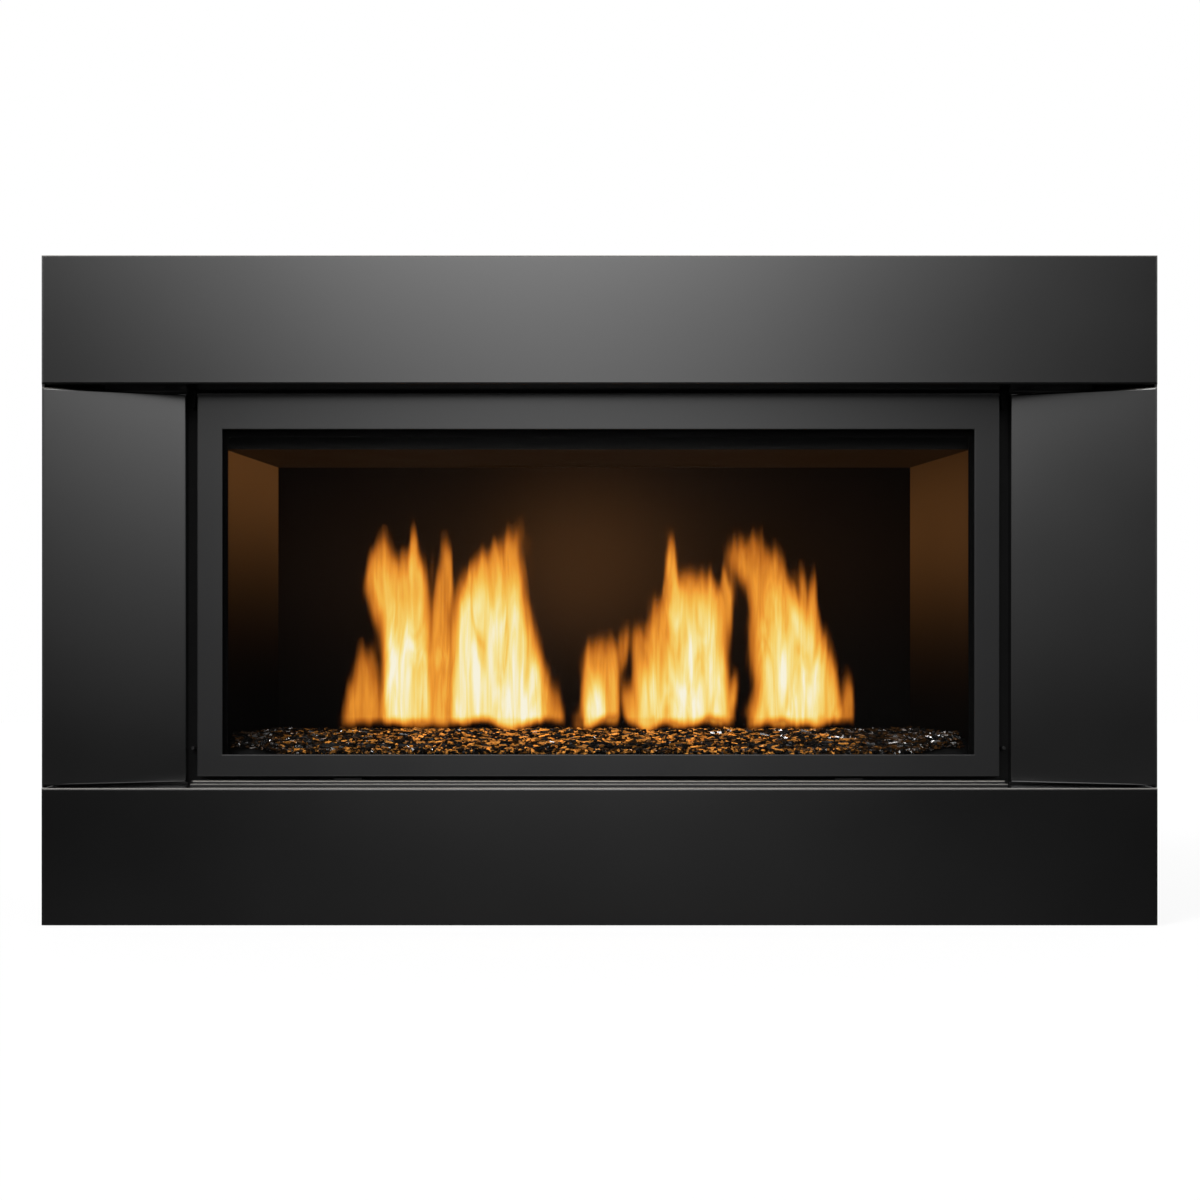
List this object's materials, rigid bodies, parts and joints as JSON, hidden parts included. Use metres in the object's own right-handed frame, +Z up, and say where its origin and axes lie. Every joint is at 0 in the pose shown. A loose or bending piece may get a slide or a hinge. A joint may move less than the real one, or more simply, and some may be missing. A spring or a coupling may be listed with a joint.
{
  "type": "fireplace insert",
  "caption": "Linear direct-vent gas fireplace insert: charcoal four-piece surround, recessed glass door, lined firebox with burner and glass media, controls, blower and twin flue collars.",
  "frame": {"origin": "middle of the footprint, on the plane the levelling feet stand on", "axes": "+X to the right seen from the room, +Y into the wall, +Z up; the front faces -Y"},
  "size_m": [1.17, 0.42, 0.7035],
  "materials": {
    "surround": "satin charcoal powder coat",
    "door_paint": "fine satin dark grey",
    "black_paint": "matt black heat paint",
    "zinc": "zinc plated",
    "galvanised": "galvanised sheet",
    "stainless": "heat-tinted stainless",
    "cast_aluminium": "as cast",
    "brass": "machined",
    "magnet": "nickel plated",
    "glass": "clear glass-ceramic",
    "gasket": "black woven glass-fibre tape",
    "enamel": "gloss black enamel on steel",
    "media": "crushed bronze and black fire glass",
    "ceramic": "white insulator",
    "knob_plastic": "black",
    "button_plastic": "red",
    "lever": "red coated steel"
  },
  "bodies": {
    "insert_body": {"top_panel": "surround", "left_side_panel": "surround", "right_side_panel": "surround", "corner_spacers": "zinc", "surround_screws": "zinc", "panel_magnets": "magnet", "locating_pins": "zinc", "door_hinge_pins": "black_paint", "door_guide_studs": "zinc", "door_catch_springs": "zinc", "sill_track": "door_paint", "casing_left": "galvanised", "casing_right": "galvanised", "casing_back": "galvanised", "casing_top": "galvanised", "base_pan": "galvanised", "levelling_feet": "zinc", "foot_nuts": "zinc", "face_frame": "black_paint", "firebox_header": "black_paint", "firebox_wrap": "galvanised", "firebox_top": "galvanised", "firebox_floor": "galvanised", "back_liner": "enamel", "left_liner": "enamel", "right_liner": "enamel", "ceiling_liner": "enamel", "burner_tray": "black_paint", "burner_tube": "stainless", "media_bed": "media", "pilot_hood": "stainless", "flame_sensor": "stainless", "igniter_electrode": "ceramic", "mixer_tube": "zinc", "gas_valve": "cast_aluminium", "control_plate": "black_paint", "igniter_body": "knob_plastic", "switch_housing": "knob_plastic", "speed_control": "knob_plastic", "shutoff_valve": "brass", "supply_pipe": "stainless", "manifold_pipe": "cast_aluminium", "pilot_tube": "cast_aluminium", "blower_housing": "galvanised", "blower_motor": "black_paint", "flue_collars": "galvanised"},
    "bottom_panel": {"bottom_panel": "surround"},
    "glass_door": {"door_frame": "door_paint", "door_glass": "glass", "glass_gasket": "gasket", "glass_clips": "zinc"},
    "pilot_spindle": {"pilot_spindle": "brass"},
    "pilot_knob": {"pilot_knob": "knob_plastic"},
    "flame_height_knob": {"flame_height_knob": "knob_plastic"},
    "igniter_button": {"igniter_button": "button_plastic"},
    "rocker_switch": {"rocker_switch": "knob_plastic"},
    "blower_speed_knob": {"blower_speed_knob": "knob_plastic"},
    "shutoff_lever": {"shutoff_lever": "lever"},
    "air_shutter": {"air_shutter": "zinc"},
    "blower_impeller": {"blower_impeller": "cast_aluminium"}
  },
  "joints": [
    {"name": "bottom_panel_pull", "type": "slide", "parent": "insert_body", "child": "bottom_panel", "axis": [0, -1, 0], "range_m": [0, 0.2]},
    {"name": "glass_door_swing", "type": "hinge", "parent": "insert_body", "child": "glass_door", "pos_m": [0, -0.14, 0.562], "axis": [-1, 0, 0], "range_deg": [0, 25]},
    {"name": "pilot_press", "type": "slide", "parent": "insert_body", "child": "pilot_spindle", "axis": [0, 1, 0], "range_m": [0, 0.003], "stiffness_N_per_m": 500, "springref_m": -0.001},
    {"name": "pilot_turn", "type": "hinge", "parent": "pilot_spindle", "child": "pilot_knob", "pos_m": [-0.172, -0.126, 0.084], "axis": [0, 1, 0], "range_deg": [0, 180]},
    {"name": "flame_height_turn", "type": "hinge", "parent": "insert_body", "child": "flame_height_knob", "pos_m": [-0.128, -0.125, 0.084], "axis": [0, 1, 0], "range_deg": [0, 270]},
    {"name": "igniter_press", "type": "slide", "parent": "insert_body", "child": "igniter_button", "axis": [0, 1, 0], "range_m": [0, 0.006], "stiffness_N_per_m": 500, "springref_m": -0.001},
    {"name": "rocker_tip", "type": "hinge", "parent": "insert_body", "child": "rocker_switch", "pos_m": [-0.072, -0.117, 0.084], "axis": [1, 0, 0], "range_deg": [-12, 12]},
    {"name": "blower_speed_turn", "type": "hinge", "parent": "insert_body", "child": "blower_speed_knob", "pos_m": [-0.022, -0.125, 0.084], "axis": [0, 1, 0], "range_deg": [0, 270]},
    {"name": "shutoff_turn", "type": "hinge", "parent": "insert_body", "child": "shutoff_lever", "pos_m": [-0.409, -0.08, 0.094], "axis": [0, 0, 1], "range_deg": [0, 90]},
    {"name": "air_shutter_turn", "type": "hinge", "parent": "insert_body", "child": "air_shutter", "pos_m": [0.06, -0.01, 0.094], "axis": [0, 0, 1], "range_deg": [0, 45]},
    {"name": "impeller_spin", "type": "hinge", "parent": "insert_body", "child": "blower_impeller", "pos_m": [0.19, 0.15, 0.078], "axis": [1, 0, 0], "continuous": true}
  ]
}
